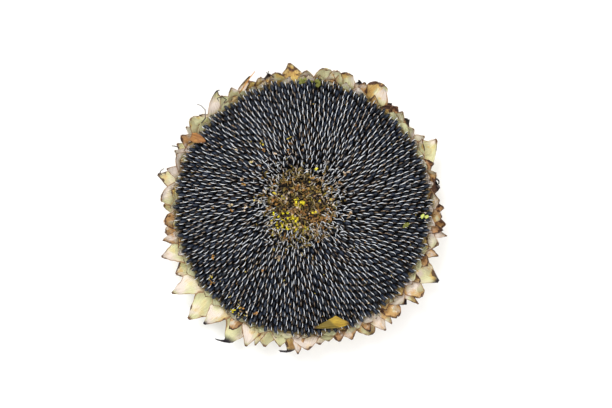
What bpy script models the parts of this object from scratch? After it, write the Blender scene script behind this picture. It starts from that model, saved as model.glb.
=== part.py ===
"""A ripe sunflower head, cut from its stalk and laid on its back with the seeds up.

Run it with: blender --background --python part.py
Sizes are in metres and +Z is up. The origin is the middle of the flat cut that the head rests on.
"""

import math
import random
from collections import namedtuple

import bmesh
import bpy
from mathutils import Matrix, Vector, geometry

MM = 0.001
SEED_OF_CHANCE = 7

# The seed spiral. Place n lies one golden angle on from place n - 1.
GOLDEN_ANGLE = math.pi * (3 - math.sqrt(5))
PLACES = 1320  # florets and seeds together
FLORET_PLACES = 42  # the innermost places, where dried florets stand and no seed has set
GUARD_PLACES = 170  # places past the rim, which only shape the cells of the last seeds
SPIRAL_RADIUS = 87.5 * MM  # the middle of the last seed
CROWDING = -0.09  # how much smaller the seeds are at the heart. Below 0, they are larger there
HEART = Vector((-1.4, 4.0)) * MM  # the spiral's start, off the head's middle

# The seeds' face is a low dome.
CROWN = 40 * MM
RIM_DROP = 9 * MM
DOME_POWER = 3.0
SEED_RELIEF = 2.2 * MM  # from the valleys between the seeds up to their tips
FLORET_PAN = 4.5 * MM  # how far the floor under the florets lies below the seeds' tips
SEED_FLOOR = 26.3 * MM
SEED_WALL_INSET = 0.965  # the seeds lean outwards, so their roots are nearer the axis

# The receptacle, the spongy disc that carries everything, with the stump of the stalk.
RIM_RADIUS = 88.5 * MM
STALK_RADIUS = 17 * MM
RECEPTACLE_STEPS = 52  # even, because every other meridian of the back is a rib
RIB_DEPTH = 1.4 * MM
RIB_START = STALK_RADIUS * 1.2
RIB_END = RIM_RADIUS * 0.99
BACK = (  # the back from the stalk's cut out to the rim: distance from the axis, height
    (0, 0),
    (17, 0),
    (18.5, 2.6),
    (25, 5.6),
    (40, 8.2),
    (60, 10.2),
    (76, 12.2),
    (85, 14.6),
    (88.5, 17.4),
    (88.5, 24.4),
    (86.5, 26),
    (0, 26),
)

# The bracts, in two rows. Each row's roots are fused in a band round the rim.
GAP = 0.5 * MM
BAND_THICKNESS = 2 * MM
BAND_STEPS = 52
ROW_BAND = {"upper": (20.8 * MM, 24.8 * MM), "lower": (16.7 * MM, 19.3 * MM)}
BRACT_THICKNESS = 0.9 * MM
BRACT_ROWS = 5
SPINE_STEPS = 60
CURL_START = 0.42  # share of a bract's length that stays straight
CUPPING = 0.16
TIP_WIDTH = 0.08

# at: where the root's middle is, in degrees from +X, anticlockwise seen from above.
# lean: how far the tip lies round from there, in degrees. reach: furthest point from the axis, in mm.
# width: in mm, at the root. lift: how steeply it leaves the rim. curl: how far its end turns up.
Bract = namedtuple("Bract", "row at lean reach width lift curl")
BRACTS = [
    Bract(*row)
    for row in (
        ("upper", 3, 0, 94.5, 16, 52, 30),
        ("upper", 13.5, 1, 95, 12, 50, 60),
        ("upper", 26, 4, 95.5, 16, 48, 10),
        ("upper", 35.5, 0, 94, 13, 56, 20),
        ("upper", 43, 1, 95.5, 11, 50, 40),
        ("upper", 49.5, -1, 94, 8, 54, 20),
        ("upper", 57.5, 0, 101.8, 23, 25, 140),
        ("upper", 71.5, 0, 98.3, 17, 38, 110),
        ("upper", 80.5, 0, 97.6, 17, 42, 100),
        ("upper", 88.5, 0, 94.8, 13, 50, 40),
        ("upper", 101.5, 0, 95.5, 14, 46, 60),
        ("upper", 109, -1, 94.8, 11, 50, 50),
        ("upper", 121.5, -0.5, 96.9, 11, 40, 40),
        ("upper", 131, -5, 100.4, 18, 28, 60),
        ("upper", 141.5, 0, 99, 17, 34, 90),
        ("upper", 149.5, 0, 97.6, 12, 38, 60),
        ("upper", 159, -2, 95, 16, 50, 40),
        ("upper", 174, 3, 98.3, 19, 34, 90),
        ("upper", 185.5, 0, 96.2, 13, 42, 100),
        ("upper", 199.5, -0.5, 103.8, 17, 16, 20),
        ("upper", 214.5, -1.5, 108.7, 18, 10, 0),
        ("upper", 231, -1.5, 105.9, 18, 14, 10),
        ("upper", 239.5, -0.5, 97.6, 10, 32, 90),
        ("upper", 247, 0.5, 103.8, 16, 16, 15),
        ("upper", 260, 0.5, 97.6, 13, 26, 10),
        ("upper", 271, 1, 98.5, 22, 26, 30),
        ("upper", 281, 0, 94.2, 14, 44, 20),
        ("upper", 290.5, 0, 97.6, 14, 24, 10),
        ("upper", 303.5, 0.5, 102.5, 14, 18, 5),
        ("upper", 311.5, -0.5, 99.7, 16, 26, 110),
        ("upper", 324, 0, 102.5, 16, 22, 120),
        ("upper", 336.5, -1, 95, 11, 44, 80),
        ("upper", 345, 0, 97.6, 17, 26, 20),
        ("upper", 356.5, 0, 96, 12, 44, 60),
        ("lower", 9, 0, 96.2, 12, 0, 120),
        ("lower", 23.5, 3.5, 105.2, 26, 2, 5),
        ("lower", 40, 0, 96, 14, 0, 90),
        ("lower", 50, 0, 95.5, 13, 4, 60),
        ("lower", 65.5, 0, 97.6, 11, 4, 50),
        ("lower", 79, 0, 95, 13, 0, 20),
        ("lower", 94.5, 1, 101.8, 19, 6, 10),
        ("lower", 105, -1, 97, 11, 6, 50),
        ("lower", 117, -5, 99.5, 14, 6, 30),
        ("lower", 128, -1, 96, 12, 4, 100),
        ("lower", 138, 0, 97, 12, 4, 80),
        ("lower", 154, -1, 99, 14, 4, 20),
        ("lower", 168, -1, 104.5, 17, 0, 0),
        ("lower", 179, 0, 97.5, 14, 0, 70),
        ("lower", 190.5, -1, 97.6, 19, 0, 80),
        ("lower", 207.5, 0, 100.4, 19, 0, 10),
        ("lower", 224.5, -0.5, 112.2, 24, -8, 0),
        ("lower", 241, -0.5, 110.8, 22, -10, 10),
        ("lower", 253.5, 1, 101, 19, -6, 10),
        ("lower", 266, -2, 101, 14, 0, 110),
        ("lower", 277, 0, 96.5, 16, 0, 20),
        ("lower", 298, 1, 100.4, 20, 4, 100),
        ("lower", 317, 0, 98.3, 14, 0, 80),
        ("lower", 331.5, 0, 108, 22, 0, 10),
        ("lower", 353, 0.5, 100.4, 17, 4, 50),
    )
]

# Dried florets at the heart, drawn larger than life.
FLORETS = 52
FLORET_SPREAD = 15 * MM
FLORET_CORE_RADIUS = 15.0 * MM
FLORET_SIDES = 5
CORE_GAP = 0.4 * MM  # between the floor of the pan and the core that carries the florets
CORE_RISE = 0.6 * MM  # of the core's top above the seeds' tips
CORE_STEPS = 24
FLORET_FOOT_SPREAD = 0.88  # share of the spread that the florets' feet keep to
FLORET_ROOT_RADIUS = 0.75 * MM
FLORET_MOUTH_RADIUS = (1.15 * MM, 1.5 * MM)
FLORET_LENGTH = (5.0 * MM, 7.5 * MM)
FLORET_SUNK = 1.8 * MM  # how deep a floret's foot stands in the core
FLORET_LEAN = 10  # degrees off upright at the heart's middle
FLORET_SPLAY = 34  # degrees more at its edge
FLORET_SWAY = 9  # degrees either way by chance

# Withered ray petals that lie over the seeds by the rim: root, tip, outline and how far they arch.
Petal = namedtuple("Petal", "name root tip outline arch")
PETALS = (  # outline: share of the way from root to tip, width to the right and to the left, in mm
    Petal(
        "withered_petal_1",
        (31.6, -79.6),
        (8.0, -82.6),
        ((0, 0.8, 0.6), (0.12, 2.8, 1.4), (0.35, 6.6, 2.0), (0.6, 4.0, 1.6), (0.85, 1.6, 0.8), (1, 0.3, 0.3)),
        1.6,
    ),
    Petal(
        "withered_petal_2",
        (-77.5, 49.4),
        (-67.2, 46.0),
        ((0, 2.6, 2.9), (0.3, 3.3, 3.6), (0.6, 2.4, 3.0), (0.85, 1.2, 1.6), (1, 0.3, 0.3)),
        0.8,
    ),
)
PETAL_CLEARANCE = 1.0 * MM
PETAL_THICKNESS = 0.8 * MM
PETAL_ROWS = 6
PETAL_FOLD = 0.25  # rise of an edge for each unit of half width

SHARP_ANGLE = math.radians(40)

COLOURS = {  # base colour, roughness
    "receptacle": ((0.72, 0.70, 0.50), 0.8),
    "bracts": ((0.80, 0.72, 0.52), 0.7),
    "seeds": ((0.02, 0.022, 0.03), 0.4),
    "florets": ((0.32, 0.20, 0.06), 0.85),
    "petals": ((0.62, 0.40, 0.06), 0.7),
}


def clear_scene():
    for thing in list(bpy.data.objects):
        bpy.data.objects.remove(thing)


def material(kind):
    """The plain finish of one kind of piece, made once."""
    made = bpy.data.materials.get(kind)
    if made is None:
        colour, roughness = COLOURS[kind]
        made = bpy.data.materials.new(kind)
        made.use_nodes = True
        shader = made.node_tree.nodes["Principled BSDF"]
        shader.inputs["Base Color"].default_value = (*colour, 1)
        shader.inputs["Roughness"].default_value = roughness
        shader.inputs["Metallic"].default_value = 0
    return made


def add_object(name, mesh, kind, collection):
    made = bpy.data.objects.new(name, mesh)
    mesh.materials.clear()
    mesh.materials.append(material(kind))
    collection.objects.link(made)
    return made


def mesh_from(bm, name):
    bmesh.ops.recalc_face_normals(bm, faces=bm.faces)
    mesh = bpy.data.meshes.new(name)
    bm.to_mesh(mesh)
    bm.free()
    return mesh


def modified_mesh(thing):
    """The object's mesh with its modifiers applied. The object is removed."""
    graph = bpy.context.evaluated_depsgraph_get()
    mesh = bpy.data.meshes.new_from_object(thing.evaluated_get(graph))
    bpy.data.objects.remove(thing)
    return mesh


def turned(name, profile, steps, kind, collection):
    """A profile of (distance from the axis, height) turned round +Z, closed where it meets the axis."""
    bm = bmesh.new()
    points = [bm.verts.new((out, 0, up)) for out, up in profile]
    for first, second in zip(points, points[1:]):
        bm.edges.new((first, second))
    if profile[0][0] > 0:
        bm.edges.new((points[-1], points[0]))
    mesh = bpy.data.meshes.new(name)
    bm.to_mesh(mesh)
    bm.free()
    made = add_object(name, mesh, kind, collection)
    screw = made.modifiers.new("turn", "SCREW")
    screw.steps = screw.render_steps = steps
    screw.use_merge_vertices = True
    screw.merge_threshold = 0.00001
    whole = modified_mesh(made)
    bm = bmesh.new()
    bm.from_mesh(whole)
    bmesh.ops.remove_doubles(bm, verts=bm.verts, dist=0.00001)
    return add_object(name, mesh_from(bm, name), kind, collection)


def fuse(body, pieces):
    """Joins a collection of loose pieces to the body in one Boolean union, and removes them."""
    union = body.modifiers.new("fuse", "BOOLEAN")
    union.operation = "UNION"
    union.operand_type = "COLLECTION"
    union.collection = pieces
    union.solver = "MANIFOLD"
    graph = bpy.context.evaluated_depsgraph_get()
    fused = bpy.data.meshes.new_from_object(body.evaluated_get(graph))
    body.modifiers.clear()
    body.data = fused
    for piece in list(pieces.objects):
        bpy.data.objects.remove(piece)
    bpy.data.collections.remove(pieces)


def loose_collection(name):
    made = bpy.data.collections.new(name)
    bpy.context.scene.collection.children.link(made)
    return made


def place(n):
    """Where the spiral puts place n, seen from above."""
    share = ((n + 0.5) / PLACES) ** ((1 + CROWDING) / 2)
    turn = n * GOLDEN_ANGLE
    ring = Vector((math.cos(turn), math.sin(turn))) * share * SPIRAL_RADIUS
    return ring + HEART * (1 - share**2)


def face_height(x, y):
    """Height of the seeds' tips at a point of the face."""
    share = math.hypot(x, y) / SPIRAL_RADIUS
    return CROWN - RIM_DROP * share**DOME_POWER


def cell_corners():
    """The corners of the cells round the places, and the corners of each seed's own cell."""
    places = [place(n) for n in range(PLACES + GUARD_PLACES)]
    found = geometry.delaunay_2d_cdt(places, [], [], 0, 0.01 * MM)
    points, triangles, originals = found[0], found[2], found[3]
    corners, cells = [], {n: [] for n in range(PLACES)}
    for triangle in triangles:
        numbers = [originals[i][0] for i in triangle]
        if min(numbers) >= PLACES:
            continue
        ends = [points[i].to_3d() for i in triangle]
        middle = circle_centre(*ends)
        for n in numbers:
            if n < PLACES:
                cells[n].append(len(corners))
        corners.append((middle, min(numbers) < FLORET_PLACES))
    for n, around in cells.items():
        centre = places[n]
        around.sort(key=lambda i: math.atan2(corners[i][0].y - centre.y, corners[i][0].x - centre.x))
    return corners, cells


def circle_centre(a, b, c):
    """The centre of the circle through three points of a plane, which is a corner of their cells."""
    p, q = b - a, c - a
    twice_area = 2 * (p.x * q.y - p.y * q.x)
    x = (q.y * p.length_squared - p.y * q.length_squared) / twice_area
    y = (p.x * q.length_squared - q.x * p.length_squared) / twice_area
    return Vector((a.x + x, a.y + y))


def smoothed(thing):
    """Round pieces catch the light as round ones. Their real edges stay sharp."""
    thing.data.shade_smooth()
    thing.data.set_sharp_from_angle(angle=SHARP_ANGLE)
    return thing


def build_seeds(collection):
    """The seeds as a relief on one disc: each cell of the spiral rises to the tip of its seed."""
    corners, cells = cell_corners()
    bm = bmesh.new()
    points = []
    for corner, in_pan in corners:
        depth = FLORET_PAN if in_pan else SEED_RELIEF
        points.append(bm.verts.new((corner.x, corner.y, face_height(corner.x, corner.y) - depth)))
    floor = [bm.faces.new([points[i] for i in cells[n]]) for n in range(PLACES)]
    seeds = floor[FLORET_PLACES:]
    rim = [edge for edge in bm.edges if edge.is_boundary]
    poked = bmesh.ops.poke(bm, faces=seeds, center_mode="MEAN_WEIGHTED")
    for tip in poked["verts"]:
        tip.co.z = face_height(tip.co.x, tip.co.y)
    wall = bmesh.ops.extrude_edge_only(bm, edges=rim)["geom"]
    for root in [part for part in wall if isinstance(part, bmesh.types.BMVert)]:
        root.co = (root.co.x * SEED_WALL_INSET, root.co.y * SEED_WALL_INSET, SEED_FLOOR)
    bottom = [part for part in wall if isinstance(part, bmesh.types.BMEdge)]
    bmesh.ops.contextual_create(bm, geom=[edge for edge in bottom if edge.is_boundary])
    return add_object("seeds", mesh_from(bm, "seeds"), "seeds", collection)


def build_receptacle(collection):
    """The spongy disc with the stalk's stump. Ribs run from the stalk to the rim on its back."""
    profile = [(out * MM, up * MM) for out, up in BACK]
    made = turned("receptacle", profile, RECEPTACLE_STEPS, "receptacle", collection)
    for point in made.data.vertices:
        out = math.hypot(point.co.x, point.co.y)
        if RIB_START < out < RIB_END and point.co.z < ROW_BAND["lower"][0]:
            meridian = round(math.atan2(point.co.y, point.co.x) / math.tau * RECEPTACLE_STEPS)
            point.co.z += RIB_DEPTH * (meridian % 2)
    return smoothed(made)


def bract_spine(bract):
    """The middle line of a bract as (share along, distance from the axis, height, heading)."""
    root = RIM_RADIUS + GAP + BAND_THICKNESS / 2
    low, high = ROW_BAND[bract.row]
    line, out, up = [], 0.0, 0.0
    for step in range(SPINE_STEPS + 1):
        along = step / SPINE_STEPS
        bend = max(0.0, (along - CURL_START) / (1 - CURL_START))
        heading = math.radians(bract.lift + bract.curl * bend**1.3)
        line.append((along, out, up, heading))
        out += math.cos(heading) / SPINE_STEPS
        up += math.sin(heading) / SPINE_STEPS
    length = (bract.reach * MM - root) / max(point[1] for point in line)
    height = (low + high) / 2
    return [(along, root + out * length, height + up * length, heading) for along, out, up, heading in line]


def bract_width(along):
    """Width as a share of the root's: full at the root, then drawn out to a narrow tip."""
    return TIP_WIDTH + (1 - TIP_WIDTH) * (1 - along**1.4) ** 1.15


def bract_point(bract, spine_point, across):
    """A point of the bract's middle surface. across runs from -1 to 1."""
    along, out, up, heading = spine_point
    half = bract.width * MM / 2 * bract_width(along)
    angle = math.radians(bract.at + bract.lean * along**2) + half * across / out
    cup = CUPPING * half * across**2 * math.sqrt(along)
    out -= math.sin(heading) * cup
    return Vector((math.cos(angle) * out, math.sin(angle) * out, up + math.cos(heading) * cup))


def blade(name, rows, thickness, kind, collection):
    """A thin leaf from rows of three points, split into triangles alike on both faces."""
    bm = bmesh.new()
    grid = [[bm.verts.new(point) for point in row] for row in rows]
    for near, far in zip(grid, grid[1:]):
        for side in range(2):
            bm.faces.new((near[side], near[side + 1], far[side + 1], far[side]))
    bmesh.ops.triangulate(bm, faces=bm.faces, quad_method="FIXED")
    made = add_object(name, mesh_from(bm, name), kind, collection)
    wall = made.modifiers.new("wall", "SOLIDIFY")
    wall.thickness = thickness
    wall.offset = 0
    return made


def build_bract_row(row, collection):
    """One row of bracts, fused with the band of their roots that runs round the rim."""
    low, high = ROW_BAND[row]
    inner = RIM_RADIUS + GAP
    outer = inner + BAND_THICKNESS
    band_profile = ((inner, low), (outer, low), (outer, high), (inner, high))
    name = f"{row}_bracts"
    band = turned(name, band_profile, BAND_STEPS, "bracts", collection)
    pieces = loose_collection(f"{name}_pieces")
    for bract in [b for b in BRACTS if b.row == row]:
        spine = bract_spine(bract)
        picked = [spine[round(SPINE_STEPS * step / BRACT_ROWS)] for step in range(BRACT_ROWS + 1)]
        rows = [[bract_point(bract, point, across) for across in (-1, 0, 1)] for point in picked]
        blade(f"{row}_bract_{bract.at}", rows, BRACT_THICKNESS, "bracts", pieces)
    fuse(band, pieces)
    return smoothed(band)


def build_florets(collection):
    """Dried florets standing out of a low core, each a small tube that flares at its mouth."""
    middle = HEART.to_3d()
    crown = face_height(HEART.x, HEART.y)
    top = crown + CORE_RISE
    floor = crown - FLORET_PAN + CORE_GAP
    profile = (
        (0, floor),
        (FLORET_CORE_RADIUS * 0.97, floor),
        (FLORET_CORE_RADIUS, crown - 1.6 * MM),
        (FLORET_CORE_RADIUS * 0.75, top - 0.7 * MM),
        (0, top),
    )
    core = turned("dried_florets", profile, CORE_STEPS, "florets", collection)
    core.data.transform(Matrix.Translation(middle))
    pieces = loose_collection("floret_pieces")
    chance = random.Random(SEED_OF_CHANCE)
    for n in range(FLORETS):
        share = math.sqrt((n + 0.5) / FLORETS)
        turn = n * GOLDEN_ANGLE
        foot = Vector((math.cos(turn), math.sin(turn), 0)) * share * FLORET_SPREAD * FLORET_FOOT_SPREAD
        length = chance.uniform(*FLORET_LENGTH)
        tilt = math.radians(FLORET_LEAN + FLORET_SPLAY * share**2 + chance.uniform(-FLORET_SWAY, FLORET_SWAY))
        axis = Matrix.Rotation(turn, 4, "Z") @ Matrix.Rotation(tilt, 4, "Y")
        root = Matrix.Translation((0, 0, length / 2 - FLORET_SUNK))
        height = top - 1.0 * MM * share**2
        bm = bmesh.new()
        bmesh.ops.create_cone(
            bm,
            cap_ends=True,
            segments=FLORET_SIDES,
            radius1=FLORET_ROOT_RADIUS,
            radius2=chance.uniform(*FLORET_MOUTH_RADIUS),
            depth=length,
            matrix=Matrix.Translation(middle + foot + Vector((0, 0, height))) @ axis @ root,
        )
        add_object(f"floret_{n}", mesh_from(bm, "floret"), "florets", pieces)
    fuse(core, pieces)
    return core


def widths_at(outline, along):
    """The widths to the right and left of a petal's middle line, straight between the outline's points."""
    for (start, right, left), (end, next_right, next_left) in zip(outline, outline[1:]):
        if along <= end:
            share = (along - start) / (end - start)
            return right + (next_right - right) * share, left + (next_left - left) * share
    return outline[-1][1:]


def build_petal(petal, collection):
    """A withered ray petal, lying over the seeds and folded a little along its middle."""
    root, tip = Vector(petal.root) * MM, Vector(petal.tip) * MM
    side = (tip - root).orthogonal().normalized()
    rows = []
    for step in range(PETAL_ROWS + 1):
        along = step / PETAL_ROWS
        middle = root.lerp(tip, along)
        right, left = widths_at(petal.outline, along)
        lift = PETAL_CLEARANCE + petal.arch * MM * math.sin(math.pi * along)
        row = []
        for reach in (-right * MM, 0, left * MM):
            spot = middle + side * reach
            fold = PETAL_FOLD * abs(reach)
            row.append(Vector((spot.x, spot.y, face_height(spot.x, spot.y) + lift + fold)))
        rows.append(row)
    return smoothed(blade(petal.name, rows, PETAL_THICKNESS, "petals", collection))


def main():
    clear_scene()
    head = loose_collection("sunflower_seed_head")
    build_receptacle(head)
    build_seeds(head)
    build_florets(head)
    build_bract_row("upper", head)
    build_bract_row("lower", head)
    for petal in PETALS:
        build_petal(petal, head)


main()
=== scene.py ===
"""A ripe sunflower head on a pale table, seen from straight above.

Sizes are in metres and +Z is up. The frame gives the solids; every visible surface is made here.
"""

import math
import random
from collections import namedtuple

import bpy
from mathutils import Matrix, Vector, noise


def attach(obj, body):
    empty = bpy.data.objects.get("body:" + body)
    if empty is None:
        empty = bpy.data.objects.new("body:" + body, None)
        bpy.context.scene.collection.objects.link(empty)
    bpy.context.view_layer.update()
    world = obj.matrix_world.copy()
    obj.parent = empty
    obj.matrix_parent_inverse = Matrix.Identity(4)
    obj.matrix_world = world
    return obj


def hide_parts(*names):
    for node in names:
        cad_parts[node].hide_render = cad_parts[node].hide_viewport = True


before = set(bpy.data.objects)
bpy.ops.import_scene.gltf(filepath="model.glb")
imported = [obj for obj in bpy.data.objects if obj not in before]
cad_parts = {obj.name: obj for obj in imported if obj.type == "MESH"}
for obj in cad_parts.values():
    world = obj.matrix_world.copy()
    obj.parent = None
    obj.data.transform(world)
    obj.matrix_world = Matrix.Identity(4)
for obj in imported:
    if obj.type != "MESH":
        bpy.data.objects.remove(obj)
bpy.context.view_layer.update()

MM = 0.001

# The photograph's frame, and where the head's axis lies in it.
PHOTO_WIDTH = 612
PHOTO_MIDDLE = (306, 204)
HEAD_MIDDLE = (303, 208)
PIXEL = 0.6923 * MM

# The seed spiral, as in the solids.
GOLDEN_ANGLE = math.pi * (3 - math.sqrt(5))
PLACES = 1320
FLORET_PLACES = 42
SPIRAL_RADIUS = 87.5 * MM
CROWDING = -0.09  # below 0, the places are larger at the heart
HEART = Vector((-1.4, 4.0)) * MM  # where the spiral starts
CROWN = 40 * MM
RIM_DROP = 9 * MM
DOME_POWER = 3.0

# One seed and the chaff beside it.
SEED_LENGTH = 10.5 * MM
SEED_BREADTH = 5.9 * MM
SEED_THICKNESS = 2.9 * MM
ROW_GAP = 2.9 * MM  # between neighbouring spiral rows at the rim
ROW_TURN = math.radians(7)
RIM_LEAN = math.radians(34)
RIM_FLARE = 0.017  # how far the outermost seeds are pushed out over the rim
WILD_RADIUS = 40 * MM  # nearer the heart than this the chaff gets unruly
WILDEST_RADIUS = 17 * MM  # and nearer than this it is as unruly as it gets
CHAFF_PROFILE = {  # row of the grid, foot to crest: height in mm, share of the lip's overhang
    -1: (-4.5, 0), -0.5: (-1.6, 0.1), 0: (0.1, 0.12), 0.5: (0.75, 0.35), 1: (0.6, 0.9),
}

# Walls of the thin pieces.
LEAF_WALL = 0.42 * MM
PETAL_WALL = 0.35 * MM
FLORET_WALL = 0.16 * MM
CHAFF_WALL = 0.13 * MM

# The receptacle from the cut stalk up its back to the rim: mm from the axis, mm above the table.
STUMP = ((13.2, 0), (16.6, 0), (17, 0.5))
BACK = ((18.5, 2.6), (25, 5.6), (40, 8.2), (60, 10.2), (76, 12.2), (85, 14.6), (88.5, 17.4))
RIM = ((88.6, 20.5), (88.5, 24.4), (87.5, 25.6), (86.5, 26), (60, 26))
RIBS = 26

# How a leaf stands and curls. The rows of bracts are as in the solids, and the collar is only here.
CURL_START = 0.42  # share of a bract's length that stays straight
CUPPING = 0.16  # how far the edges rise, as a share of half the width
TIP_WIDTH = 0.08
BRACT_ACROSS = 12  # squares of its grid
BRACT_ALONG = 26
ROOTS = {  # where each row's leaves start, from the axis and from the table
    "upper": (90.0 * MM, 22.8 * MM),
    "lower": (90.0 * MM, 18.0 * MM),
    "collar": (87.9 * MM, 25.0 * MM),
}
CLAWS = {  # each leaf's foot on the receptacle, up to its root, in mm
    "upper": ((88.9, 17.8), (89.2, 20.6)),
    "lower": ((76.5, 11.6), (82, 12.9), (86.5, 14.9), (89.2, 16.9)),
    "collar": ((87.2, 22.6), (87.4, 23.8)),
}

# Every bract of the two rows. at, lean, lift, curl: degrees. reach, width, hook: mm. The rest: 0 to 1.
Bract = namedtuple("Bract", "row at lean reach width lift curl green dry tip hook", defaults=(0,))
UPPER_BRACTS = (
    (3, 0, 94.5, 16, 52, 30, 0.3, 0.4, 0.3), (13.5, 1, 95, 12, 50, 60, 0.2, 0.7, 0.4),
    (26, 4, 95.5, 16, 48, 10, 0.5, 0.4, 0.3), (35.5, 0, 94, 13, 56, 20, 0.2, 0.3, 0.2),
    (43, 1, 95.5, 11, 50, 40, 0.6, 0.4, 0.3), (49.5, -1, 94, 8, 54, 20, 0.1, 1, 0.4),
    (57.5, 0, 101.8, 23, 25, 140, 0.5, 0.6, 0.4), (71.5, 0, 98.3, 17, 38, 110, 0.6, 0.55, 0.4),
    (80.5, 0, 97.6, 17, 42, 100, 0.5, 0.5, 0.4), (88.5, 0, 94.8, 13, 50, 40, 0.5, 0.3, 0.2),
    (101.5, 0, 95.5, 14, 46, 60, 0.8, 0.6, 0.4), (109, -1, 94.8, 11, 50, 50, 0.7, 0.8, 0.3),
    (121.5, -0.5, 96.9, 11, 40, 40, 0.3, 0.3, 0.6), (131, -5, 100.4, 18, 28, 60, 0.4, 0.1, 0.8),
    (141.5, 0, 99, 17, 34, 90, 0.9, 0.5, 0.2), (149.5, 0, 97.6, 12, 38, 60, 0, 0.6, 0.3),
    (159, -2, 95, 16, 50, 40, 0.2, 0.3, 0.2), (174, 3, 98.3, 19, 34, 90, 0.2, 0.3, 0.3),
    (185.5, 0, 96.2, 13, 42, 100, 0.1, 0.7, 0.5), (199.5, -0.5, 103.8, 17, 16, 20, 0.3, 0.2, 0.5),
    (214.5, -1.5, 108.7, 18, 10, 0, 0.3, 0.2, 0.5), (231, -1.5, 105.9, 18, 14, 10, 0.3, 0.3, 0.8),
    (239.5, -0.5, 97.6, 10, 32, 90, 0.1, 0.8, 0.6), (247, 0.5, 103.8, 16, 16, 15, 0.3, 0.3, 0.5),
    (260, 0.5, 97.6, 13, 26, 10, 0.7, 0.1, 0.1), (271, 1, 98.5, 22, 26, 30, 0.2, 0.2, 0.1),
    (281, 0, 94.2, 14, 44, 20, 0.9, 0.2, 0.1), (290.5, 0, 97.6, 14, 24, 10, 0.1, 0.6, 0.3),
    (303.5, 0.5, 102.5, 14, 18, 5, 0.2, 0.5, 0.5), (311.5, -0.5, 99.7, 16, 26, 110, 0.2, 0.8, 0.6),
    (324, 0, 102.5, 16, 22, 120, 0.2, 0.6, 0.5), (336.5, -1, 95, 11, 44, 80, 0.1, 0.9, 0.5),
    (345, 0, 97.6, 17, 26, 20, 0.1, 0.3, 0.2), (356.5, 0, 96, 12, 44, 60, 0.2, 0.7, 0.6),
)
LOWER_BRACTS = (
    (9, 0, 96.2, 12, 0, 120, 0.1, 0.9, 1), (23.5, 3.5, 105.2, 26, 2, 5, 0.8, 0.4, 0.2),
    (40, 0, 96, 14, 0, 90, 0.1, 0.9, 1), (50, 0, 95.5, 13, 4, 60, 0.1, 0.9, 0.7),
    (65.5, 0, 97.6, 11, 4, 50, 0.3, 0.4, 1, 1.5), (79, 0, 95, 13, 0, 20, 0.4, 0.4, 0.2),
    (94.5, 1, 101.8, 19, 6, 10, 0.6, 0.7, 0.5), (105, -1, 97, 11, 6, 50, 0.5, 0.6, 1, 1),
    (117, -5, 99.5, 14, 6, 30, 0.2, 0.4, 0.7), (128, -1, 96, 12, 4, 100, 0.1, 0.5, 0.9),
    (138, 0, 97, 12, 4, 80, 0.2, 0.3, 0.7), (154, -1, 99, 14, 4, 20, 0.3, 0.2, 0.4),
    (168, -1, 104.5, 17, 0, 0, 0.4, 0.2, 0.6), (179, 0, 97.5, 14, 0, 70, 0.2, 0.4, 0.5),
    (190.5, -1, 97.6, 19, 0, 80, 0.1, 0.8, 0.5), (207.5, 0, 100.4, 19, 0, 10, 0.5, 0.3, 0.1),
    (224.5, -0.5, 112.2, 24, -8, 0, 0.8, 0.2, 0.3), (241, -0.5, 110.8, 22, -10, 10, 0.8, 0.2, 1, -8),
    (253.5, 1, 101, 19, -6, 10, 0.6, 0.3, 0.1), (266, -2, 101, 14, 0, 110, 0.3, 0.7, 1, -6),
    (277, 0, 96.5, 16, 0, 20, 0.6, 0.2, 0.1), (298, 1, 100.4, 20, 4, 100, 0.2, 0.6, 0.6),
    (317, 0, 98.3, 14, 0, 80, 0.1, 1, 1), (331.5, 0, 108, 22, 0, 10, 0.7, 0.4, 0.8),
    (353, 0.5, 100.4, 17, 4, 50, 0.3, 0.8, 0.4),
)
BRACTS = [Bract("upper", *row) for row in UPPER_BRACTS] + [Bract("lower", *row) for row in LOWER_BRACTS]

# The collar: small upright leaves between the seeds and the bracts, and some that fill notches. The darkest
# of those, dry ones behind the bracts, are partly painted shade in the gaps between bracts.
COLLAR_LEAVES = 70
FRESH_SIDES = ((200, 264), (19, 27), (35, 46))  # degrees between which they are still fresh
# at, reach, width, lift, curl, green, dry, tip
NOTCH_LEAVES = (
    (340.5, 99.2, 10, 30, 20, 0.2, 0.6, 0.5), (349, 101.2, 9, 25, 30, 0.2, 0.5, 0.5),
    (307.5, 101.2, 9, 20, 20, 0.2, 0.6, 0.5), (320.3, 104.2, 8, 15, 10, 0.3, 0.5, 0.5),
    (193, 99.4, 10, 30, 30, 0.1, 0.7, 0.4), (250.8, 101, 9, 15, 20, 0.3, 0.3, 0.4),
    (268, 101.2, 9, 20, 40, 0.2, 0.7, 0.6), (76, 97.6, 14, 42, 80, 0.5, 0.4, 0.3),
    (47, 95.9, 16, 38, 10, 0, 1, 0.4), (30.5, 97.6, 12, 32, 30, 0.9, 0.2, 0.1),
    (0, 97.4, 11, 34, 50, 0.1, 0.9, 0.5), (164, 98, 10, 34, 30, 0.2, 0.2, 0.3),
    # Dark dry leaves behind the bracts, partly painted shade in the gaps between them.
    (328, 95.6, 7, 44, 60, 0.3, 0.8, 0.6), (298.5, 97, 8, 36, 60, 0, 1, 0.8),
    (285.5, 95.8, 11, 40, 40, 0, 0.8, 0.6), (351, 97.5, 8, 36, 60, 0, 0.8, 0.7),
    (19, 95.5, 10, 44, 40, 0, 0.9, 0.6), (63.5, 96.5, 9, 44, 60, 0.1, 0.7, 0.6),
    (145.4, 98.6, 10, 28, 30, 0.1, 0, 0.2), (345.2, 96.4, 18, 34, 10, 0.1, 0, 0),
    (316.5, 96.2, 16, 38, 10, 0.2, 0, 0.1), (156, 97.2, 11, 36, 30, 0.1, 0.1, 0.3),
    (126, 96, 12, 40, 20, 0.5, 0.2, 0.2), (112.5, 95, 13, 42, 30, 0.8, 0.7, 0.2),
)

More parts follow.
